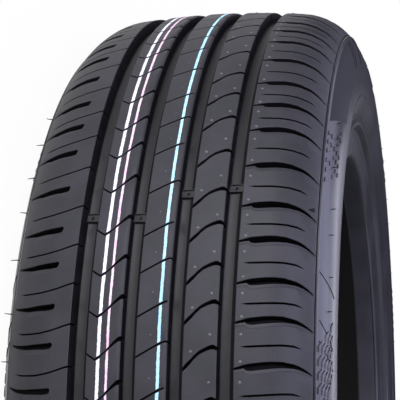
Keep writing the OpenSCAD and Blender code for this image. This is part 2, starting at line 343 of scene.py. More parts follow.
# %% Outboard shoulder rib
rib5_cols = wall_left_of_rib(GROOVES[3])
rib5_cols += land(51, 53.6, 54.8, 57.5, 65, 70, 75, 81, 83.4, 85.5, 88, 90, LAND_END)
a5 = np.array(rib5_cols)[:, 0]
out_slot = cut_rows(
    a5,
    [(47, 0.3, 1.2), (51, 1.2, 1.5), (53.6, 1.9, 2.0), (54.8, 1.5, 3.4), (57.5, 1.6, 4.2),
     (65, 2.6, 4.2), (70, 3.15, 3.9), (75, 3.5, 3.4), (81, 3.1, 2.5), (83.4, 2.5, 2.2),
     (85.5, 1.7, 1.9), (88, 0.4, 1.4), (90, -1, 1), (91, -1.8, 0.5)],
    [(47, 6), (53.6, 6), (54.8, 7), (80, 7), (88, 2.5), (90, 0.8), (91, 0.1)],
    bevel=SLOT_BEVEL,
    ledge=[(47, 1.8, 0.35, 0.05), (53.6, 1.6, 0.4, 0.05), (57.5, 2.2, 0.55, 0.1),
           (75, 1.9, 0.55, 0.1), (84, 1.6, 0.45, 0.05), (89, 0.8, 0.2, 0), (91, 0, 0, 0)],
)
out_sipe = cut_rows(
    a5,
    [(47, 0, 0), (53.2, 0, 0), (53.7, 0, 1.1), (60, 0.3, 1.3), (70, 1.1, 1.3), (78, 1.8, 1.3),
     (81, 1.6, 1.3), (83.3, 1, 1.1), (83.8, 0.9, 0), (91, -0.8, 0)],
    [(47, 0), (53.2, 0), (54, 5), (60, 6), (78, 4), (83.4, 2), (83.9, 0), (91, 0)],
)
rib5 = rib_grid(rib5_cols, [(pitch_angle(0, 5), [out_slot]), (pitch_angle(0.5, 5), [out_sipe])])
print("outboard shoulder rib:", rib5["r"].shape)

# %% [markdown]
# ## Sidewalls, beads and liner
# Below the tread everything is plain revolution, so one profile goes from the fine line under the
# outboard shoulder, down the sidewall, round the bead, along the liner and up the other side. A
# lathe or a Screw modifier could turn it, but arrays let the sidewall be joined to the ribs.

# %% Curves of a profile
LOW_TURN = 27.0


def arc(c, r, start, end, n):
    """n + 1 points on an arc: centre + r (cos t, sin t), t even between two angles in degrees."""
    t = np.radians(np.linspace(start, end, n + 1))[:, None]
    return np.asarray(c) + r * np.hstack([np.cos(t), np.sin(t)])


def lower_wall(start, inward, down, n):
    """Part of an ellipse from the flat ring at the widest point down to the rim protector: inward
    by (1 - cos t) / (1 - cos 27) and down by sin t / sin 27, for t from 0 to 27 degrees."""
    t = np.radians(np.linspace(0, LOW_TURN, n + 1))
    last = math.radians(LOW_TURN)
    across = start[0] - inward * (1 - np.cos(t)) / (1 - math.cos(last))
    return np.stack([across, start[1] - down * np.sin(t) / math.sin(last)], axis=1)


def with_rings(line, at, wide=0.9, high=0.35):
    """The same line with fine raised rings on it, each two feet and two crests that stand out
    along +a, at the radii given."""
    rings = []
    for r in at:
        a = float(np.interp(-r, -line[:, 1], line[:, 0]))
        rings += [[a, r + wide], [a + high, r + wide / 2], [a + high, r - wide / 2], [a, r - wide]]
    both = np.vstack([line, rings])
    return both[np.argsort(-both[:, 1], kind="stable")]


print("lower wall of 100 by 100:", lower_wall((0, 0), 100, 100, 3).round(1).tolist())

# %% [markdown]
# ## The outside of a sidewall
# Under the tread runs a fine line: a cut, and beside it a rounded ridge that catches the light.
# Then come the upper sidewall on the shoulder arc, the lower wall with two fine rings, the rim
# protector, which keeps the rim off the kerb, and the bead that sits on the rim. The sharp corners
# get a point or two beside them, because a moulded edge is never quite sharp.

# %% Profile of the outside
LINE_AT = 37.0
LINE_END = 4.5
STRIP_COLS = 8
BELLY, HEEL_IN, PROTECTOR = 8.0, 11.0, 2.0
HEEL, TOE, SEAT, BEAD_W = 5.0, 1.2, 12.0, 13.0
FLANGE_H = 0.22 * (OUTER_R - BEAD_R)
FLANGE_R, NOSE = BEAD_R + FLANGE_H, FLANGE_H / 5
LOW_R = OUT_C[1] - BELLY
WALL_IN, WALL_DOWN = HEEL_IN - 2 * PROTECTOR, LOW_R - FLANGE_R - NOSE
FACE_A = HALF_W - HEEL_IN
TOE_A = FACE_A - HEEL - SEAT
RINGS_AT = (250.0, 236.5)
# Places of the fine line's points: degrees from LINE_AT, and how far they stand out
LINE_MARKS = [(0.75, 0), (0.6, 0), (0.4, -0.8), (-0.4, -0.8), (-0.6, 0.1), (-0.9, 0.5), (-1.3, 0.7),
              (-1.7, 0.5), (-2.0, 0.1), (-2.3, 0)]
line_pts = np.vstack([arc(OUT_C, SHOULDER_ARC + out, LINE_AT + t, LINE_AT + t, 0) for t, out in LINE_MARKS])
wall_pts = with_rings(lower_wall((HALF_W, LOW_R), WALL_IN, WALL_DOWN, 6), RINGS_AT)
wall_a = wall_pts[-1][0]
bead_pts = np.array([
    wall_pts[-1] + [PROTECTOR * 0.8, -NOSE / 2 + 0.6],
    wall_pts[-1] + [PROTECTOR, -NOSE / 2],
    [wall_a + PROTECTOR, FLANGE_R + 0.5],
    [wall_a + PROTECTOR - 0.4, FLANGE_R],
    [FACE_A + PROTECTOR, FLANGE_R - NOSE / 2],
    [FACE_A + 0.5, FLANGE_R - 1.2 * NOSE],
    [FACE_A, FLANGE_R - 1.5 * NOSE],
])
seat_pts = np.array([
    [TOE_A, BEAD_R],
    [TOE_A - TOE, BEAD_R + TOE],
    [TOE_A - TOE, BEAD_R + 3 * TOE],
    [FACE_A - BEAD_W, BEAD_R + BEAD_W],
])
outer_side = np.vstack([
    line_pts,
    arc(OUT_C, SHOULDER_ARC, LINE_AT - LINE_END, 0, STRIP_COLS),
    wall_pts,
    bead_pts,
    arc([FACE_A - HEEL, BEAD_R + HEEL], HEEL, 0, -90, 5),
    seat_pts,
])
OUTER_COLS = len(outer_side)
print("outside of a sidewall:", OUTER_COLS, "points, widest", outer_side[:, 0].max())

# %% [markdown]
# ## The liner
# The liner is the airtight skin inside. It follows the outside at the thickness of the casing and
# ends above the bead, which is thicker than the wall. It could be the outside moved inwards by one
# offset, but the casing is thicker under the tread than at the sides, so it has arcs of its own.
# Half of it is worked out and mirrored: the profile is the outside, the liner, the other outside.

# %% Profile of the liner
LINER_SHARE = 0.85
LINER_CROWN = (30.0, 0.0)
in_crown = CROWN_ARC - CASING_T
in_top = 90 - math.degrees(math.asin(IN_C[0] / (in_crown - SHOULDER_ARC + SIDE_WALL)))
liner_wall = lower_wall((HALF_W - SIDE_WALL, LOW_R), WALL_IN * LINER_SHARE, WALL_DOWN * LINER_SHARE, 4)
liner_half = np.vstack([
    liner_wall[::-1],
    arc(IN_C, SHOULDER_ARC - SIDE_WALL, 0, in_top, 5),
    np.array([[a, CROWN_C + math.sqrt(in_crown ** 2 - a * a)] for a in LINER_CROWN]),
])
flip = np.array([-1.0, 1.0])
profile = np.vstack([outer_side, liner_half, (liner_half[:-1] * flip)[::-1], (outer_side * flip)[::-1]])
print("profile:", profile.shape, "smallest radius inside", liner_half[:, 1].min().round(1))

# %% [markdown]
# ## Turning the profile
# The profile is repeated at even angles. On the upper sidewall lie matt panels, where the mould is
# blasted. Their ends are slanted, so the columns of that strip are sheared: each is shifted round
# the tyre by an amount that goes evenly from one edge of the strip to the other. A panel then ends
# on a line of the grid and needs no cut. The sidewall's pattern repeats three times.

# %% Grid of the side
SECTOR = 120
SIDE_ROWS = 150
MATT_END = -133.6
SLANT = (4.4, -1.6)
side_angle = MATT_END + np.arange(SIDE_ROWS) * 360 / SIDE_ROWS
strip = slice(len(line_pts), len(line_pts) + STRIP_COLS + 1)
outer_shift = np.full(OUTER_COLS, SLANT[1])
outer_shift[:strip.start] = SLANT[0]
outer_shift[strip] = np.linspace(*SLANT, STRIP_COLS + 1)
liner_shift = np.full(len(profile) - 2 * OUTER_COLS, SLANT[1])
shift = np.concatenate([outer_shift, liner_shift, outer_shift[::-1]])
side = {
    "a": np.tile(profile[:, 0], (SIDE_ROWS, 1)),
    "angle": side_angle[:, None] + shift[None, :],
    "r": np.tile(profile[:, 1], (SIDE_ROWS, 1)),
}
print("side grid:", side["r"].shape)

# %% [markdown]
# ## Faces from arrays
# Every piece here is a grid of points, so its faces are sums of row and column numbers: one
# function closes a grid round the tyre, one makes the skin of a small tube, and one repeats the
# faces of one small body for all its copies. Loops over faces would say the same, more slowly.

# %% Faces of grids and tubes
def grid_faces(start, rows, cols):
    """Quads of a grid whose rows run round the tyre and close on themselves."""
    i = np.arange(rows)[:, None]
    j = np.arange(cols - 1)[None, :]
    n = (i + 1) % rows
    q = np.stack([i * cols + j, n * cols + j, n * cols + j + 1, i * cols + j + 1], axis=-1)
    return start + q.reshape(-1, 4)


def tube_faces(rings, sides):
    """Quads between rings of points, each closed on itself: points are numbered ring * sides +
    side, and the next side after the last is the first."""
    i = np.arange(rings - 1)[:, None] * sides
    j = np.arange(sides)[None, :]
    n = (j + 1) % sides
    return np.stack([i + j, i + n, i + sides + n, i + sides + j], axis=-1).reshape(-1, 4)


def repeat_faces(faces, count, points_each, turned=False):
    """The faces of one body for each of its copies: number of the copy * points of one body +
    corner. turned reverses the corners, for a body that is mirrored."""
    faces = np.asarray(faces)[:, ::-1] if turned else np.asarray(faces)
    step = np.arange(count)[:, None, None] * points_each
    return (faces[None] + step).reshape(-1, faces.shape[-1])


print("a tube of 3 rings with 4 sides has", len(tube_faces(3, 4)), "faces")

# %% [markdown]
# ## Joining the grids
# Two neighbouring rings have different numbers of points. Both are sorted by angle, and the strip
# between them is filled as a zip closes: each step along one ring makes a triangle with the last
# point passed on the other. That keeps the tyre one closed shell, with no doubles to merge.

# %% Zip
def zip_rings(ids_a, ang_a, ids_b, ang_b):
    """Triangles between two closed rings. For each edge of ring A the third corner is the last
    point of ring B before the edge's end, and the other way round for ring B."""
    order_a, order_b = np.argsort(ang_a % 360), np.argsort(ang_b % 360)
    ids_a, ids_b = ids_a[order_a], ids_b[order_b]
    ang_a, ang_b = (ang_a % 360)[order_a], (ang_b % 360)[order_b]
    on_b = np.searchsorted(ang_b, np.roll(ang_a, -1), side="left") - 1
    on_a = np.searchsorted(ang_a, np.roll(ang_b, -1), side="right") - 1
    from_a = np.stack([ids_a, np.roll(ids_a, -1), ids_b[on_b]], axis=1)
    from_b = np.stack([ids_a[on_a], np.roll(ids_b, -1), ids_b], axis=1)
    return np.vstack([from_a, from_b])


zip_test = zip_rings(np.arange(4), np.arange(4) * 90.0, 4 + np.arange(6), np.arange(6) * 60.0 + 1)
print("rings of 4 and 6 points are joined by", len(zip_test), "triangles")

# %% [markdown]
# ## Meshes from arrays
# foreach_set copies whole arrays into a mesh, which is many times faster than adding faces one by
# one. The shading is smooth but for edges that turn by more than a given angle, as on rubber from
# a mould: round where the mould is round, crisp where it was cut.

# %% Points and meshes
def round_axis(r, turn, a):
    """Points from a radius, a turn in radians and a place across: (r cos, r sin, a)."""
    r, turn, a = np.broadcast_arrays(r, turn, a)
    return np.stack([r * np.cos(turn), r * np.sin(turn), a], axis=-1)


def put_mesh(name, points, quads, tris=(), quad_mat=0, tri_mat=0, sharp=32.0):
    """A mesh object from arrays: points in mm, quads and triangles by index, smooth but for the
    edges that turn by more than the angle sharp."""
    points = np.asarray(points).reshape(-1, 3)
    quads = np.asarray(quads, np.int32).reshape(-1, 4)
    tris = np.asarray(tris, np.int32).reshape(-1, 3)
    mesh = bpy.data.meshes.new(name)
    mesh.vertices.add(len(points))
    mesh.vertices.foreach_set("co", (points * MM).astype(np.float32).ravel())
    mesh.loops.add(quads.size + tris.size)
    mesh.loops.foreach_set("vertex_index", np.concatenate([quads.ravel(), tris.ravel()]))
    mesh.polygons.add(len(quads) + len(tris))
    starts = np.concatenate([np.arange(len(quads)) * 4, quads.size + np.arange(len(tris)) * 3])
    mesh.polygons.foreach_set("loop_start", starts.astype(np.int32))
    mats = np.concatenate([np.broadcast_to(quad_mat, len(quads)), np.broadcast_to(tri_mat, len(tris))])
    mesh.polygons.foreach_set("material_index", mats.astype(np.int32))
    mesh.polygons.foreach_set("use_smooth", np.ones(len(mats), bool))
    mesh.update(calc_edges=True)
    mesh.validate()
    mesh.set_sharp_from_angle(angle=math.radians(sharp))
    obj = bpy.data.objects.new(name, mesh)
    bpy.context.scene.collection.objects.link(obj)
    return obj


def tell(obj, count, what):
    """Prints how many parts a closed mesh has and its volume, the sum over its triangles of
    corner . (corner x corner) / 6, which is above nought when the faces point outwards."""
    mesh = obj.data
    mesh.calc_loop_triangles()
    co = np.empty(len(mesh.vertices) * 3)
    mesh.vertices.foreach_get("co", co)
    tri = np.empty(len(mesh.loop_triangles) * 3, np.int32)
    mesh.loop_triangles.foreach_get("vertices", tri)
    p = co.reshape(-1, 3)[tri.reshape(-1, 3)]
    cm3 = float(np.einsum("ij,ij->i", p[:, 0], np.cross(p[:, 1], p[:, 2])).sum() / 6 * 1e6)
    print(obj.name, count, what + ", volume", round(cm3, 3), "cm3")
    return obj


# %% [markdown]
# ## Kinds of rubber on the shell
# The tyre is one body, but its surface isn't the same all over: the lands are matt, the walls of
# the cuts and the floors of the grooves darker, which is painted shade, the sidewalls glossy, the
# liner dusty and the bead seats grey. Each face gets the number of its material. A cut is known by
# its depth, and the parts of the side by their columns, which are the same, counted from the end, on the
# inboard side.

# %% Kinds of surface
LAND, SIDEWALL, LINER, CUT, FLOOR, MATT, CHAFER = range(7)
CUT_DEPTH = 1.2
MATT_LONG = 40.8
MATT_START = MATT_END - MATT_LONG
# A tenth of a degree, far less than a row, so that rounding can't move a panel's end
NUDGE = 0.1


def both_sides(first, last):
    """The same columns on the outboard and, mirrored, on the inboard side."""
    return slice(first, last), slice(-last, -first or None)


def side_kinds():
    """Liner, then the sidewalls, the matt panels on their strip and the bead seats."""
    kind = np.full((SIDE_ROWS, len(profile) - 1), LINER)
    for part in both_sides(0, OUTER_COLS - 3):
        kind[:, part] = SIDEWALL
    matt = ((side_angle + NUDGE - MATT_START) % SECTOR < MATT_LONG)[:, None]
    for part in both_sides(strip.start, strip.stop - 1):
        kind[:, part] = np.where(matt, MATT, kind[:, part])
    for part in both_sides(OUTER_COLS - 6, OUTER_COLS - 2):
        kind[:, part] = CHAFER
    return kind


def rib_kinds(rib):
    """Land, or a cut where the mean depth of a face's corners is over 1.2 mm. The last two
    columns of a rib with a groove on its right belong to the groove's floor."""
    d = rib["depth"]
    below = np.roll(d, -1, axis=0)
    mean = (d[:, :-1] + d[:, 1:] + below[:, :-1] + below[:, 1:]) / 4
    # Cut faces take the near-black rubber, and the floor columns the darker groove rubber: both colours are
    # painted shade.
    kind = np.where(mean > CUT_DEPTH, CUT, LAND)
    if rib is not rib5:
        kind[:, -2:] = FLOOR
    return kind


print("cut faces on the middle rib:", int((rib_kinds(rib3) == CUT).sum()))

# %% [markdown]
# ## The tyre's shell
# All six grids go into one mesh, and the zip joins each to the next and the last to the first. One
# closed shell has no seams that could show a crack of light, and its volume can be checked.

# %% Build the tyre's shell
grids = [rib1, rib2, rib3, rib4, rib5, side]
points, quads, tris, quad_mat, tri_mat = [], [], [], [], []
first = 0
for g in grids:
    rows, cols = g["r"].shape
    g["start"] = first
    points.append(round_axis(g["r"], np.radians(g["angle"]), g["a"]).reshape(-1, 3))
    quads.append(grid_faces(first, rows, cols))
    quad_mat.append((side_kinds() if g is side else rib_kinds(g)).ravel())
    first += rows * cols
for g, h in zip(grids, grids[1:] + grids[:1]):
    rows_g, cols_g = g["r"].shape
    rows_h, cols_h = h["r"].shape
    joined = zip_rings(
        g["start"] + np.arange(rows_g) * cols_g + cols_g - 1, g["angle"][:, -1],
        h["start"] + np.arange(rows_h) * cols_h, h["angle"][:, 0],
    )
    tris.append(joined)
    # Strips between two ribs are groove floor and take the darker groove rubber, whose colour is painted
    # shade.
    tri_mat.append(np.full(len(joined), SIDEWALL if (g is side or h is side) else FLOOR))
tyre = put_mesh(
    "tyre_body", np.vstack(points), np.vstack(quads), np.vstack(tris),
    np.concatenate(quad_mat), np.concatenate(tri_mat),
)
tell(tyre, len(tyre.data.vertices), "points")

# %% [markdown]
# ## Paint rings
# The factory marks a tread with thin rings of paint. A ring lies on the land only, so it is broken
# at each sipe. Its edges wander a little, because it is rolled on over a moving tyre, and are
# ragged, because it lies on grained rubber. A painted image would need a texture; a thin closed
# body for each stretch between two sipes needs none, and its rim sinks a hair into the rubber.

# %% Stretches of paint
FILM, SUNK = 0.08, -0.05
SIPE_GAP = 0.15
ACROSS = np.array([-0.5, -0.47, -0.2, 0.2, 0.47, 0.5])
LIFT = FILM * np.array([0, 0.7, 1, 1, 0.7, 0])
LIFT[[0, -1]] = SUNK
ALONG = np.concatenate([[0, 0.02], np.linspace(0.1, 0.9, 24), [0.98, 1]])


def stretches(at, width, angles, variants):
    """Angles of the points of each stretch: from one sipe's edge to the next one's, divided by
    the shares in ALONG, begin (1 - share) + end share."""
    along = np.array([cut_rows(at + ACROSS * width, *v)[0] for v in variants])
    along = along[np.arange(PITCHES) % len(variants)]
    begin = angles[:, None] + np.degrees((along[:, -1] + SIPE_GAP) / OUTER_R)
    before = angles[:, None] + np.degrees((along[:, 0] - SIPE_GAP) / OUTER_R)
    end = np.roll(before, -1, axis=0)
    end[-1] += 360
    f = ALONG[None, :, None]
    return begin[:, None, :] * (1 - f) + end[:, None, :] * f


print("paint film:", FILM, "mm in", len(ALONG), "steps from sipe to sipe")

# %% Paint rings
paint_rng = np.random.default_rng(3)
RAGGED = 0.13
# Shares by which the six points across move with the left and with the right edge
PULL_LEFT = np.array([1, 1, 0.3, 0, 0, 0])
PULL_RIGHT = np.array([0, 0, 0, 0.3, 1, 1])


def paint_ring(name, at, width, angles, variants):
    """A ring of paint: across, a flat film with sunk rims; each edge moves by two slow waves,
    0.06 sin 37 angle + 0.04 sin (97 angle + 1.3), and by up to 0.13 mm at random."""
    ang = stretches(at, width, angles, variants)
    wander = 0.06 * np.sin(np.radians(ang * 37.0)) + 0.04 * np.sin(np.radians(ang * 97.0) + 1.3)
    left, right = wander + paint_rng.uniform(-RAGGED, RAGGED, (2,) + ang.shape[:2] + (1,))
    a = at + ACROSS * width + left * PULL_LEFT + right * PULL_RIGHT
    lift = np.broadcast_to(LIFT, ang.shape).copy()
    lift[:, [0, -1]] = SUNK
    rows, cols = ang.shape[1:]
    caps = np.array([[0, 1, 4, 5], [1, 2, 3, 4]])
    skin = tube_faces(rows, cols)[:, [0, 3, 2, 1]]
    one = np.vstack([skin, caps, (caps + (rows - 1) * cols)[:, ::-1]])
    quads = repeat_faces(one, PITCHES, rows * cols)
    obj = put_mesh(name, round_axis(surface_r(a) + lift, np.radians(ang), a), quads, sharp=60)
    return tell(obj, len(quads), "faces")


white_ring = paint_ring("white_ring", -31.6, 2.05, pitch_angle(0.5, 2), [v_cut])
pink_ring = paint_ring("pink_ring", -26.25, 1.5, pitch_angle(0.5, 2), [v_cut])
blue_ring = paint_ring("blue_ring", 4.3, 1.8, pitch_angle(0, 3), [open_cut])

# %% [markdown]
# ## Wear bars
# Bars across the groove floors show when the tread is worn down to 1.6 mm. Each is a low block
# with sloped ends, a slit near one end and a small sunk triangle on top. Six rows of them stand
# round the tyre, one bar in each groove. One function copies any small body to many places.

# %% Copies of a small body
def scatter(name, local, faces, where, sharp=32.0):
    """Copies of one small body. local is (n, 3): along, across and up in mm; where is (m, 3): the
    angle in degrees, the place across and the radius of its foot. All copies are one mesh, with
    a point at turn = angle + along / outer radius and radius = foot + up."""
    local, where = np.asarray(local, float), np.asarray(where, float)
    turn = np.radians(where[:, 0])[:, None] + local[None, :, 0] / OUTER_R
    a = where[:, 1][:, None] + local[None, :, 1]
    r = where[:, 2][:, None] + local[None, :, 2]
    quads = np.array([f for f in faces if len(f) == 4], int).reshape(-1, 4)
    tris = np.array([f for f in faces if len(f) == 3], int).reshape(-1, 3)
    count = len(where)
    quads = repeat_faces(quads, count, len(local))
    tris = repeat_faces(tris, count, len(local))
    return tell(put_mesh(name, round_axis(r, turn, a), quads, tris, sharp=sharp), count, "copies")


# %% Wear bars
BARS = 6
BAR_STEP = 360 / BARS
BAR_LEN, BAR_H, BAR_FOOT = 6.0, 1.6, -0.5
BAR_TURNS = [4.4, 4.7, 1.6, 0.8]
FIRST_BAR = -116.43
BAR_OVERLAP = 0.4
SUNK_BY = 1.2


def wear_bar(width):
    """One bar: a profile along the groove (along, up) between two sides. The last top face has a
    sunk triangle, so it is cut into faces round it."""
    h = BAR_LEN / 2
    line = [(-h - 0.8, BAR_FOOT), (-h, BAR_H), (-h + 0.6, BAR_H), (-h + 0.7, 0.3), (-h + 1.3, 0.3),
            (-h + 1.4, BAR_H), (h, BAR_H), (h + 0.8, BAR_FOOT)]
    points = [(x, side * width / 2, up) for side in (-1, 1) for x, up in line]
    m = len(line)
    faces = [(k, k + 1, m + k + 1, m + k) for k in range(m - 1) if k != 5] + [(m - 1, 0, m, 2 * m - 1)]
    faces += [(7, 6, 5, 4), (7, 4, 3, 0), (0, 3, 2, 1)]
    faces += [(m + 4, m + 5, m + 6, m + 7), (m, m + 3, m + 4, m + 7), (m + 1, m + 2, m + 3, m)]
    plan = [(1.9, -1.2), (1.9, 1.2), (-0.9, 0)]
    points += [(x, y, BAR_H) for x, y in plan] + [(x, y, BAR_H - SUNK_BY) for x, y in plan]
    t = 2 * m
    faces += [(5, 6, t, t + 2), (6, m + 6, t + 1, t), (m + 6, m + 5, t + 2, t + 1), (m + 5, 5, t + 2)]
    faces += [(t, t + 1, t + 4, t + 3), (t + 1, t + 2, t + 5, t + 4), (t + 2, t, t + 3, t + 5)]
    return points, faces + [(t + 3, t + 4, t + 5)]


def six_places(first_angle, across, foot):
    """Six places at even angles: (angle, across, radius of the foot)."""
    angles = first_angle + np.arange(BARS) * BAR_STEP
    return np.stack([angles, np.full(BARS, across), np.full(BARS, foot)], axis=1)


bars = []
for groove, turn in zip(GROOVES, BAR_TURNS):
    body, faces = wear_bar(groove[1] + BAR_OVERLAP)
    where = six_places(FIRST_BAR + turn, groove[0], floor_r(groove))
    bars.append(scatter(f"wear_bars_{len(bars) + 1}", body, faces, where))

# %% [markdown]
# ## Vent pips
# A mould breathes through small holes. Rubber creeps into them, and where it is cut off on the
# ribs it leaves a round pip. There are hundreds, so each is four rings of eight points and a flat
# top, which is enough for a thing 2 mm across. Blender's default sphere has over ten times the
# faces.

# %% Vent pips
PIP_SIDES = 8
PIP_RINGS = [(1.05, -0.3), (1.0, 0.08), (0.75, 0.28), (0.35, 0.37)]
PIP_TOP = 0.36
# Places of the pips: (across, share of the pitch, rib)
PIP_PLACES = [(-0.7, 0.45, 3), (23.0, 0.62, 4), (33.8, 0.25, 4), (51.6, 0.83, 5), (51.6, 0.24, 5)]


def ring_points(n, radius, up):
    """A ring of n points around the up axis: (radius cos, radius sin, up)."""
    t = np.arange(n) * 2 * math.pi / n
    return np.stack([radius * np.cos(t), radius * np.sin(t), np.full(n, up)], axis=1)


pip = np.vstack([ring_points(PIP_SIDES, radius, up) for radius, up in PIP_RINGS])
top = (len(PIP_RINGS) - 1) * PIP_SIDES
pip_faces = list(tube_faces(len(PIP_RINGS), PIP_SIDES))
pip_faces += list(top + np.array([(0, 1, 2, 3), (0, 3, 4, 7), (4, 5, 6, 7)]))
pip_faces += [(3, 2, 1, 0), (7, 4, 3, 0), (7, 6, 5, 4)]
pip_where = []
for a, share, rib in PIP_PLACES:
    foot = min(float(surface_r(a)), OUTER_R - PIP_TOP)
    pip_where.append(np.stack([pitch_angle(share, rib), np.full(PITCHES, a), np.full(PITCHES, foot)], 1))
pips = scatter("vent_pips", pip, pip_faces, np.vstack(pip_where), sharp=70)

# %% [markdown]
# ## Vent hairs
# Where nothing cuts the rubber off, a vent leaves a soft hair, on the shoulders and the upper
# sidewalls. Blender's own hair would be strands that the export can't keep, so each hair is a
# thin tube that leans, bends a little and gets thinner. On a matt panel and just before it there
# are none, and none reaches past the widest point of the tyre.

# %% Roots of the hairs
mould_rng = np.random.default_rng(7)
HAIR_ROOM = 0.3
BARE_BEFORE = 26
BARE_START, BARE_LONG = MATT_START - BARE_BEFORE, MATT_LONG + BARE_BEFORE


def hair_roots(count, arc_deg, lean_deg, lengths):
    """Hairs at even angles with some scatter: (turn, foot across, foot radius, lean, length,
    bend), one array each. The feet stand on the shoulder arc, at centre + radius (cos, sin)."""
    t = np.radians(arc_deg + mould_rng.uniform(-3, 3, count))
    lean = np.radians(lean_deg + mould_rng.uniform(-8, 8, count))
    places = np.arange(count) * 360.0 / count + mould_rng.uniform(-1.2, 1.2, count)
    foot_a = OUT_C[0] + SHOULDER_ARC * np.cos(t)
    foot_r = OUT_C[1] + SHOULDER_ARC * np.sin(t)
    room = (HALF_W - HAIR_ROOM - foot_a) / np.cos(lean)
    length = np.minimum(mould_rng.uniform(*lengths, count), room)
    bend = mould_rng.uniform(-0.05, 0.05, count)
    keep = (places - BARE_START) % SECTOR > BARE_LONG
    return [v[keep] for v in (np.radians(places), foot_a, foot_r, lean, length, bend)]


print("hairs stand on", round(3 * (SECTOR - BARE_LONG), 1), "degrees of the circle")

# %% Vent hairs
HAIR_SIDES, HAIR_RINGS = 5, 4
HAIR_ROOT, HAIR_THICK, HAIR_THINS = -0.12, 0.42, 0.22


def hairs(name, sign, roots):
    """Tubes round a line foot + u length (cos lean, sin lean), for u from -0.12 to 1, which steps
    aside by bend out^2. Their radius is 0.42 - 0.22 u mm."""
    turn, foot_a, foot_r, lean, length, bend = (v[:, None] for v in roots)
    u = np.linspace(HAIR_ROOT, 1, HAIR_RINGS)[None, :]
    out = u * length
    line_a = foot_a + out * np.cos(lean)
    line_r = foot_r + out * np.sin(lean)
    aside = bend * out * np.abs(out)
    thick = (HAIR_THICK - HAIR_THINS * np.clip(u, 0, 1))[..., None]
    s = np.arange(HAIR_SIDES) * 2 * math.pi / HAIR_SIDES
    up = np.sin(s) * thick
    a = line_a[..., None] - up * np.sin(lean)[..., None]
    r = line_r[..., None] + up * np.cos(lean)[..., None]
    phi = turn[..., None] + (aside[..., None] + np.cos(s) * thick) / r
    top = (HAIR_RINGS - 1) * HAIR_SIDES
    quads = np.vstack([tube_faces(HAIR_RINGS, HAIR_SIDES), [[3, 2, 1, 0], [top, top + 1, top + 2, top + 3]]])
    tris = [[4, 3, 0], [top, top + 3, top + 4]]
    count, each = len(turn), HAIR_RINGS * HAIR_SIDES
    quads = repeat_faces(quads, count, each, turned=sign > 0)
    tris = repeat_faces(tris, count, each, turned=sign > 0)
    return tell(put_mesh(name, round_axis(r, phi, sign * a), quads, tris, sharp=80), count, "hairs")


hairs_out = hairs("vent_hairs_outboard", 1, hair_roots(74, 20, 8, (2.4, 4.5)))
hairs_in = hairs("vent_hairs_inboard", -1, hair_roots(60, 29, 4, (3.4, 5.2)))

# %% [markdown]
# ## Serrated bands
# Tyre makers cover parts of the upper sidewall with bands of fine ribs, which hide the slight
# bulges where the plies join. A bump map would do from afar, but the bands stand at the edge of
# the tyre, where only a real shape changes the outline. Each rib is a small ridge that follows
# the shoulder arc, with its feet sunk a little into the wall.

# %% Serrated bands
RIDGE_SINK = -0.12
RIDGE_STEP = 0.42
RIDGE_STATIONS = 6
BAND_ARC = (9, 32)
BAND_SPANS = [(-89 + SECTOR * q, -72 + SECTOR * q) for q in range(3)]


def serrations(name, sign, height=0.4, foot=0.55):
    """Ridges across the sidewall: stations along the arc t, and at each a foot, a crest and a
    foot; the crest stands out along the normal by the height, which fades at both ends."""
    ang = np.radians(np.concatenate([np.arange(s, e, RIDGE_STEP) for s, e in BAND_SPANS]))
    t = np.radians(np.linspace(*BAND_ARC, RIDGE_STATIONS))[:, None]
    out = np.full((RIDGE_STATIONS, 3), RIDGE_SINK)
    out[:, 1] = height * np.array([0, 1, 1, 1, 1, 0])
    a = OUT_C[0] + (SHOULDER_ARC + out) * np.cos(t)
    r = OUT_C[1] + (SHOULDER_ARC + out) * np.sin(t)
    phi = ang[:, None, None] + np.array([-foot, 0, foot]) / r
    each = RIDGE_STATIONS * 3
    quads = repeat_faces(tube_faces(RIDGE_STATIONS, 3), len(ang), each, turned=sign > 0)
    tris = repeat_faces([[2, 1, 0], [each - 3, each - 2, each - 1]], len(ang), each, turned=sign > 0)
    return tell(put_mesh(name, round_axis(r, phi, sign * a), quads, tris, sharp=50), len(ang), "ridges")


band_out = serrations("serrated_band_outboard", 1)
band_in = serrations("serrated_band_inboard", -1)

# %% [markdown]
# ## Block panels
# Between the bands lie panels of small raised blocks, a plain ornament that is milled into the
# mould. Each block is a box on every second square of a board that is bent round the shoulder arc
# and slanted as the matt panels are; some squares stay empty, so that the board looks worked and
# not printed. A displaced surface would need far more faces for edges as crisp as these.

# %% Block panels
STEP_T, STEP_PHI, LEAN = 4.5, 0.8, 0.16
BOARD_COLS, BOARD_FOOT = 11, 10.2
EMPTY_SHARE = 0.12
BLOCK_SINK, BLOCK_TOP = -0.15, 0.5
PANEL_MIDDLES = [-126.5 + 30 * q for q in range(12) if q % 4 != 3]


def follow_arc(t_deg, phi_deg, out, sign):
    """Points that stand out from the shoulder arc by a height: centre + (radius + out)(cos t,
    sin t), turned round the axis by phi."""
    t = np.radians(t_deg)
    a = OUT_C[0] + (SHOULDER_ARC + out) * np.cos(t)
    r = OUT_C[1] + (SHOULDER_ARC + out) * np.sin(t)
    return round_axis(r, np.radians(phi_deg), sign * a)


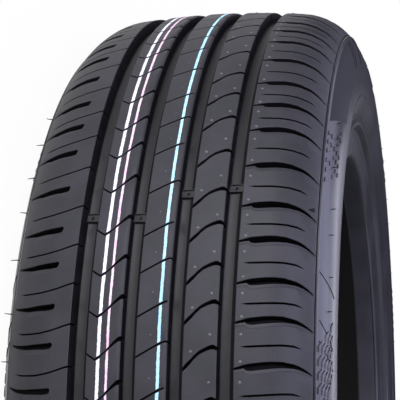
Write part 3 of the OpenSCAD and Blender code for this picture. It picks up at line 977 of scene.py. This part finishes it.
def block_panels(name, sign, rows):
    """Boxes between two angles on the arc and two round the axis, each with its foot sunk in the
    wall and its top a little smaller than its foot."""
    grid = np.meshgrid(PANEL_MIDDLES, np.arange(BOARD_COLS), np.arange(rows), indexing="ij")
    middle, col, row = (v.ravel() for v in grid)
    filled = (col + row) % 2 == 0
    filled[filled] = mould_rng.random(int(filled.sum())) >= EMPTY_SHARE
    t = (BOARD_FOOT + row * STEP_T)[filled]
    phi = middle[filled] + (col[filled] - BOARD_COLS / 2) * STEP_PHI + (t - 10) * LEAN
    corner_t = np.array([0, STEP_T, STEP_T, 0, 0.4, STEP_T - 0.4, STEP_T - 0.4, 0.4])
    corner_phi = np.array([0, 0, 1, 1, 0.08, 0.08, 0.92, 0.92]) * STEP_PHI + corner_t * LEAN
    out = np.array([BLOCK_SINK] * 4 + [BLOCK_TOP] * 4)
    points = follow_arc(t[:, None] + corner_t, phi[:, None] + corner_phi, out, sign)
    faces = [(3, 2, 1, 0), (4, 5, 6, 7), (0, 1, 5, 4), (1, 2, 6, 5), (2, 3, 7, 6), (3, 0, 4, 7)]
    return tell(put_mesh(name, points, repeat_faces(faces, len(t), 8, turned=sign < 0)), len(t), "blocks")


blocks_out = block_panels("block_panels_outboard", 1, 5)
blocks_in = block_panels("block_panels_inboard", -1, 2)

# %% [markdown]
# ## Fine lines across the panels
# A few raised lines run over the upper sidewall beside the panels, each on a slant of its own.
# They are engraved in the mould with a pointed cutter, so their section is a low triangle. They
# could be curves with a bevel, but so the whole set is one array: places round the tyre, lines,
# stations along each line and three points at each station.

# %% Fine lines
LINE_STATIONS = 9
LINE_FOOT, LINE_TOP = 0.35, 0.3
LINE_R = 300
LINED = np.array([-95.5 + 60 * q for q in range(6)])
# Each line goes from one (angle on the arc, angle round the axis) to another
LINES = np.array([[(33, -10.6), (7.5, -8.55)], [(31.5, -4.75), (8, -1.75)], [(31.5, -2.3), (8, 0.7)]])


def fine_lines(name, sign):
    """Raised lines over the shoulder arc: stations from one (t, phi) to another, start +
    (end - start) f, and at each a foot, a crest and a foot, with both ends closed."""
    f = np.linspace(0, 1, LINE_STATIONS)
    begin, end = LINES[:, 0, :, None], LINES[:, 1, :, None]
    step = (end - begin) * f
    t = begin[:, 0] + step[:, 0]
    phi = LINED[:, None, None] + begin[:, 1] + step[:, 1]
    wide = math.degrees(LINE_FOOT / LINE_R) * np.array([-1, 0, 1])
    out = np.array([RIDGE_SINK, LINE_TOP, RIDGE_SINK])
    points = follow_arc(t[..., None], phi[..., None] + wide, out, sign)
    count, each = phi.shape[0] * phi.shape[1], LINE_STATIONS * 3
    quads = repeat_faces(tube_faces(LINE_STATIONS, 3), count, each, turned=sign < 0)
    tris = repeat_faces([[2, 1, 0], [each - 3, each - 2, each - 1]], count, each, turned=sign < 0)
    return tell(put_mesh(name, points, quads, tris, sharp=50), count, "lines")


lines_out = fine_lines("panel_lines_outboard", 1)
lines_in = fine_lines("panel_lines_inboard", -1)

# %% [markdown]
# ## Shoulder marks
# A small raised triangle on the outboard shoulder points to each row of wear bars, so that they
# are easy to find. It is a prism on a curved shoulder, so each corner takes its height from the
# surface below it.

# %% Shoulder marks
MARK_A, MARK_H, MARK_SINK = 87.8, 0.5, -0.3
FIRST_MARK = -113.6
MARK_PLAN = [(1.6, -1.6), (1.6, 1.6), (-1.4, 1.6)]
mark_r = float(surface_r(MARK_A))
mark = [(x, y, float(surface_r(MARK_A + y)) - mark_r + h) for h in (MARK_SINK, MARK_H) for x, y in MARK_PLAN]
mark_faces = [(2, 1, 0), (3, 4, 5), (0, 1, 4, 3), (1, 2, 5, 4), (2, 0, 3, 5)]
marks = scatter("wear_marks", mark, mark_faces, six_places(FIRST_MARK, MARK_A, mark_r))

# %% [markdown]
# ## Rubber
# Tyre rubber is black from soot, moulded in steel. It is never plain black: soft patches of wax
# and the grain of the mould make it lighter and darker. One function makes colours from sRGB hex
# values and one adds a node; then one recipe with two noises serves every kind of rubber. The
# noises read Object coordinates, so that the grain has a real size.

# %% Helpers for materials
def srgb(code, alpha=1.0):
    """Linear colour of an sRGB hex value: v / 12.92 when dark, else ((v + 0.055) / 1.055)^2.4."""
    v = np.array([int(code[k:k + 2], 16) for k in (1, 3, 5)]) / 255
    lin = np.where(v <= 0.04045, v / 12.92, ((v + 0.055) / 1.055) ** 2.4)
    return (*lin.tolist(), alpha)


def add_node(tree, kind, settings=(), links=()):
    """Adds a node to a tree: settings fill attributes or sockets, links join sockets to other
    nodes' outputs. A socket is given by its name or, where two have one name, by its number."""
    node = tree.nodes.new(kind)
    for key, value in dict(settings).items():
        if isinstance(key, str) and hasattr(node, key):
            setattr(node, key, value)
        else:
            node.inputs[key].default_value = value
    for key, source in dict(links).items():
        tree.links.new(node.inputs[key], source)
    return node


def new_material(name):
    """A material with its node tree and its shader."""
    mat = bpy.data.materials.new(name)
    mat.use_nodes = True
    return mat, mat.node_tree, mat.node_tree.nodes["Principled BSDF"]


print("mid grey in linear light:", round(srgb("#808080")[0], 3))

# %% Recipe for rubber
RUBBER_IOR = 1.52
GLOSS_RANGE = 0.06


def rubber(name, dark, light, rough, grain_mm, bump, patch_mm=22.0, specular=0.5):
    """Moulded rubber: a dark and a light black mixed by patch + grain / 2. The grain also gives
    the bump, a quarter of its size deep, and the patches the gloss. The scale of a noise is
    1000 / size in mm, as it counts in metres."""
    mat, tree, shader = new_material(name)
    coords = {"Vector": add_node(tree, "ShaderNodeTexCoord").outputs["Object"]}
    patch = add_node(tree, "ShaderNodeTexNoise", {"Scale": 1000 / patch_mm, "Detail": 3.0}, coords)
    grain = add_node(tree, "ShaderNodeTexNoise", {"Scale": 1000 / grain_mm, "Detail": 2.0}, coords)
    patch, grain = patch.outputs["Fac"], grain.outputs["Fac"]
    both = add_node(tree, "ShaderNodeMath", {"operation": "MULTIPLY_ADD", 1: 0.5}, {0: grain, 2: patch})
    ramp = add_node(tree, "ShaderNodeValToRGB", {}, {"Fac": both.outputs["Value"]})
    for stop, position, code in zip(ramp.color_ramp.elements, (0.55, 0.95), (dark, light)):
        stop.position = position
        stop.color = srgb(code)
    gloss_ends = {"To Min": rough - GLOSS_RANGE, "To Max": rough + GLOSS_RANGE}
    gloss = add_node(tree, "ShaderNodeMapRange", gloss_ends, {"Value": patch})
    relief_size = {"Strength": bump, "Distance": grain_mm * MM * 0.25}
    relief = add_node(tree, "ShaderNodeBump", relief_size, {"Height": grain})
    tree.links.new(shader.inputs["Base Color"], ramp.outputs["Color"])
    tree.links.new(shader.inputs["Roughness"], gloss.outputs["Result"])
    tree.links.new(shader.inputs["Normal"], relief.outputs["Normal"])
    shader.inputs["IOR"].default_value = RUBBER_IOR
    shader.inputs["Specular IOR Level"].default_value = specular
    return mat


# %% [markdown]
# ## Kinds of rubber
# One compound looks different wherever the mould was finished differently. The tread comes out
# matt with the grain of the spark-eroded mould, the sidewall smoother and glossier, with a thin
# film of mould release that turns it bluish, and the liner smooth and dusty. The mould's grain is
# about 0.5 mm, which is too fine to show from here, so it is drawn at 0.8 mm or more.

# %% The rubbers
# Tread rubber: moulded, matt, a faint violet grey.
tread_rubber = rubber("moulded_tread_rubber", "#2a2a2c", "#353437", 0.52, 0.8, 0.22, specular=0.26)
# Sidewall rubber: smoother mould, waxy film, bluish where it catches light.
sidewall_rubber = rubber(
    "moulded_sidewall_rubber", "#1a1a1f", "#242429", 0.34, 1.2, 0.12, patch_mm=35, specular=0.42,
)
# Groove floors and wear bars: the tread's rubber made darker, which is painted shade in the grooves.
groove_shade_rubber = rubber("groove_floor_rubber_painted_shade", "#18181a", "#212023", 0.5, 0.8, 0.2, specular=0.33)
# Walls of the cuts, and the raised marks and lines: near-black rubber, duller than the lands. In the cuts
# that dark colour is painted shade.
dark_and_shade_rubber = rubber("dark_rubber_and_painted_cut_shade", "#0c0c0d", "#121213", 0.65, 0.8, 0.2, specular=0.12)
# Pips: paler than the tread, which is a painted highlight on their small domes.
pip_highlight_rubber = rubber("pip_rubber_painted_highlight", "#4e4e52", "#5d5d61", 0.5, 0.8, 0.1)
# Matt panels: the mould is blasted there, and the wax film doesn't shine.
matt_rubber = rubber("matt_panel_rubber", "#19191b", "#212023", 0.6, 0.8, 0.25, specular=0.14)
# Bead seats: chafer rubber over a woven strip, greyer from the mould's talc.
chafer_rubber = rubber("chafer_rubber", "#38383b", "#444347", 0.55, 1.0, 0.2, specular=0.3)
# Liner: butyl, pressed by a bladder, dusty and dull.
liner_rubber = rubber("butyl_liner", "#151516", "#1d1d1f", 0.6, 1.5, 0.15, patch_mm=30, specular=0.3)
print("rubbers:", [m.name for m in bpy.data.materials if "rubber" in m.name or "liner" in m.name])

# %% [markdown]
# ## Marking paint
# The rings are a thin water-based paint, rolled on and dried at once: matt, opaque where it lies
# thick and a little duller where it lies thin. Its patches are about 6 mm long, and the grain of
# the rubber below shows through as a fine relief, drawn at 0.8 mm as on the tread.

# %% The paints
PAINT_IOR = 1.5
PAINT_PATCH, PAINT_GRAIN = 6.0, 0.8


def paint(name, pale, worn):
    """Marking paint: a thin matt film on rubber, a little patchy where it lies thin."""
    mat, tree, shader = new_material(name)
    coords = {"Vector": add_node(tree, "ShaderNodeTexCoord").outputs["Object"]}
    patch = add_node(tree, "ShaderNodeTexNoise", {"Scale": 1000 / PAINT_PATCH, "Detail": 4.0}, coords)
    ramp = add_node(tree, "ShaderNodeValToRGB", {}, {"Fac": patch.outputs["Fac"]})
    for stop, position, code in zip(ramp.color_ramp.elements, (0.35, 0.6), (worn, pale)):
        stop.position = position
        stop.color = srgb(code)
    grain = add_node(tree, "ShaderNodeTexNoise", {"Scale": 1000 / PAINT_GRAIN, "Detail": 2.0}, coords)
    relief_size = {"Strength": 0.2, "Distance": 0.2 * MM}
    relief = add_node(tree, "ShaderNodeBump", relief_size, {"Height": grain.outputs["Fac"]})
    tree.links.new(shader.inputs["Base Color"], ramp.outputs["Color"])
    tree.links.new(shader.inputs["Normal"], relief.outputs["Normal"])
    shader.inputs["Roughness"].default_value = 0.7
    shader.inputs["IOR"].default_value = PAINT_IOR
    return mat


white_paint = paint("white_marking_paint", "#f7f6f6", "#e6e4e6")
pink_paint = paint("pink_marking_paint", "#f8dbe5", "#eec4d2")
blue_paint = paint("blue_marking_paint", "#bdeaf4", "#a6dcea")
print("paints:", white_paint.name, pink_paint.name, blue_paint.name)

# %% [markdown]
# ## Dressing the pieces
# Each piece gets its material and rides on the part's body; where it stands for a CAD node, that
# node is hidden. The tyre has one body, so all pieces ride on the root. The order of the tyre's
# materials is that of the kinds of surface.

# %% Dress the pieces
kinds = (tread_rubber, sidewall_rubber, liner_rubber, dark_and_shade_rubber, groove_shade_rubber, matt_rubber, chafer_rubber)
for mat in kinds:
    tyre.data.materials.append(mat)
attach(tyre, "root")
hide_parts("tyre")

small = [(bar, groove_shade_rubber) for bar in bars] + [(pips, pip_highlight_rubber)]
small += [(piece, dark_and_shade_rubber) for piece in (marks, lines_out, lines_in)]
small += [(piece, liner_rubber) for piece in (hairs_out, hairs_in)]
small += [(piece, sidewall_rubber) for piece in (band_out, band_in, blocks_out, blocks_in)]
for piece, mat in small:
    piece.data.materials.append(mat)
    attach(piece, "root")

rings = (
    (white_ring, white_paint, "white_stripe", "white_paint"),
    (pink_ring, pink_paint, "pink_stripe", "pink_paint"),
    (blue_ring, blue_paint, "blue_stripe", "blue_paint"),
)
for piece, mat, node, slot in rings:
    piece.data.materials.append(mat)
    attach(piece, "root")
    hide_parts(node)
print("dressed:", 1 + len(small) + len(rings), "pieces")

# %% [markdown]
# ## Floor
# The tyre lies on its inboard side on a sheet of white paper. The camera should see that paper as
# white without more light on the tyre, so the paper glows for the rays that look at a background,
# and is plain pale paper for the light that falls on the tyre. Near the tyre the glow is a little
# weaker, which leaves the soft shade that a sheet has there.

# %% Floor
FLOOR_HALF = 6


def background_rays(tree):
    """Output that is 1 for the rays that should meet a white background: those from the camera,
    mirrored ones and those through glass; the others see the plain light."""
    path = add_node(tree, "ShaderNodeLightPath")
    found = path.outputs["Is Camera Ray"]
    for kind in ("Is Glossy Ray", "Is Transmission Ray"):
        both = add_node(tree, "ShaderNodeMath", {"operation": "MAXIMUM"}, {0: found, 1: path.outputs[kind]})
        found = both.outputs["Value"]
    return found


square = ((-1, -1), (1, -1), (1, 1), (-1, 1))
corners = [(x * FLOOR_HALF, y * FLOOR_HALF, -HALF_W * MM) for x, y in square]
floor = bpy.data.objects.new("floor", bpy.data.meshes.new("floor"))
floor.data.from_pydata(corners, [], [(0, 1, 2, 3)])
bpy.context.scene.collection.objects.link(floor)
paper, tree, shader = new_material("white_paper_floor")
shader.inputs["Base Color"].default_value = srgb("#f4f4f4")
shader.inputs["Roughness"].default_value = 0.9
coords = add_node(tree, "ShaderNodeTexCoord").outputs["Object"]
far = add_node(tree, "ShaderNodeVectorMath", {"operation": "LENGTH"}, {0: coords})
white_ends = {"From Min": 0.35, "From Max": 0.8, "To Min": 0.965, "To Max": 1.0}
white = add_node(tree, "ShaderNodeMapRange", white_ends, {"Value": far.outputs["Value"]})
seen_links = {0: background_rays(tree), 1: white.outputs["Result"]}
seen = add_node(tree, "ShaderNodeMath", {"operation": "MULTIPLY"}, seen_links)
glow = add_node(tree, "ShaderNodeEmission", {"Strength": 1.0})
blend_links = {0: seen.outputs["Value"], 1: shader.outputs["BSDF"], 2: glow.outputs["Emission"]}
blend = add_node(tree, "ShaderNodeMixShader", {}, blend_links)
tree.links.new(tree.nodes["Material Output"].inputs["Surface"], blend.outputs["Shader"])
floor.data.materials.append(paper)
print("floor at", -HALF_W * MM, "m")

# %% [markdown]
# ## World
# A studio is a room with pale walls. It lights the tyre weakly from all round, so that the cuts
# don't go quite black, and is pure white where the camera looks past the floor.

# %% World
ROOM_LIGHT = 0.22
world = bpy.data.worlds.new("studio")
bpy.context.scene.world = world
world.use_nodes = True
room = {"To Min": ROOM_LIGHT, "To Max": 1.0}
sky = world.node_tree
level = add_node(sky, "ShaderNodeMapRange", room, {"Value": background_rays(sky)})
sky.links.new(sky.nodes["Background"].inputs["Strength"], level.outputs["Result"])
print("room light", ROOM_LIGHT)

# %% [markdown]
# ## Lamps
# Black rubber shows its shape by what it mirrors, so the lamps are soft boxes, each with one task.
# The key lights the tread from above, as the picture has it, and the front lamp fills its near
# part. The side and shoulder lamps draw the long sheen on the sidewall, the upper lamp lifts the
# shoulder near the horizon, and the rim lamp, over the bore, edges the sidewall from behind. The
# four over the sidewall are bluish, which gives its wax film the cool tone that it has.

# %% Lamps
def lamp(name, place, target, wide, high, power, tint="#f8f8ff"):
    """A rectangular area light at a place in metres, turned to a target, with a faint tint."""
    light = bpy.data.lights.new(name, "AREA")
    light.shape = "RECTANGLE"
    light.size = wide
    light.size_y = high
    light.energy = power
    light.color = srgb(tint)[:3]
    obj = bpy.data.objects.new(name, light)
    obj.location = place
    obj.visible_camera = False
    obj.rotation_euler = (Vector(target) - Vector(place)).to_track_quat("-Z", "Y").to_euler()
    bpy.context.scene.collection.objects.link(obj)
    return obj


lamps = [
    lamp("key", (-1.5, -1.6, 0.12), (0, -0.2, 0), 1.0, 1.0, 34),
    lamp("front", (-0.45, -2.0, 0.15), (0, -0.2, 0), 0.8, 0.8, 10),
    lamp("side", (-0.4, 0.4, 1.4), (-0.08, -0.27, 0.08), 1.0, 1.0, 13, "#dadaff"),
    lamp("shoulder", (-0.45, -1.0, 1.2), (-0.05, -0.28, 0.05), 0.8, 0.8, 19, "#dcdcff"),
    lamp("upper", (-0.8, 0.4, 0.65), (-0.2, -0.22, 0.09), 0.6, 0.4, 1.2, "#dcdcff"),
    lamp("rim", (-0.1, 0.165, 0.29), (-0.08, -0.28, 0.09), 0.36, 0.16, 0.45, "#ececff"),
]
print("lamps:", [lit.name for lit in lamps])

# %% [markdown]
# ## Camera
# The camera's place, direction, roll and lens were fitted to the photograph. The tyre lies flat
# and the photograph shows it upright, so the camera is rolled by almost a right angle, and the
# axis runs to the right of the picture. The matrix is built from its three axes, because a roll
# about a slanted view is hard to read as three angles.

# %% Camera
camera = bpy.data.objects.new("camera", bpy.data.cameras.new("camera"))
camera.data.lens = 129.05
camera.data.sensor_width = 36.0
place = Vector((0.02494, -1.11724, 0.19211))
forward = Vector((-0.173747, 0.964747, -0.197674)).normalized()
roll = math.radians(-88.6885)
level_right = forward.cross(Vector((0, 0, 1))).normalized()
level_up = level_right.cross(forward)
up = level_up * math.cos(roll) + level_right * math.sin(roll)
right = forward.cross(up)
turn = Matrix((right, up, -forward)).transposed().to_4x4()
camera.matrix_world = Matrix.Translation(place) @ turn
bpy.context.scene.collection.objects.link(camera)
bpy.context.scene.camera = camera
bpy.context.scene.view_settings.view_transform = "Standard"
print("camera right", [round(v, 4) for v in right], "up", [round(v, 4) for v in up])
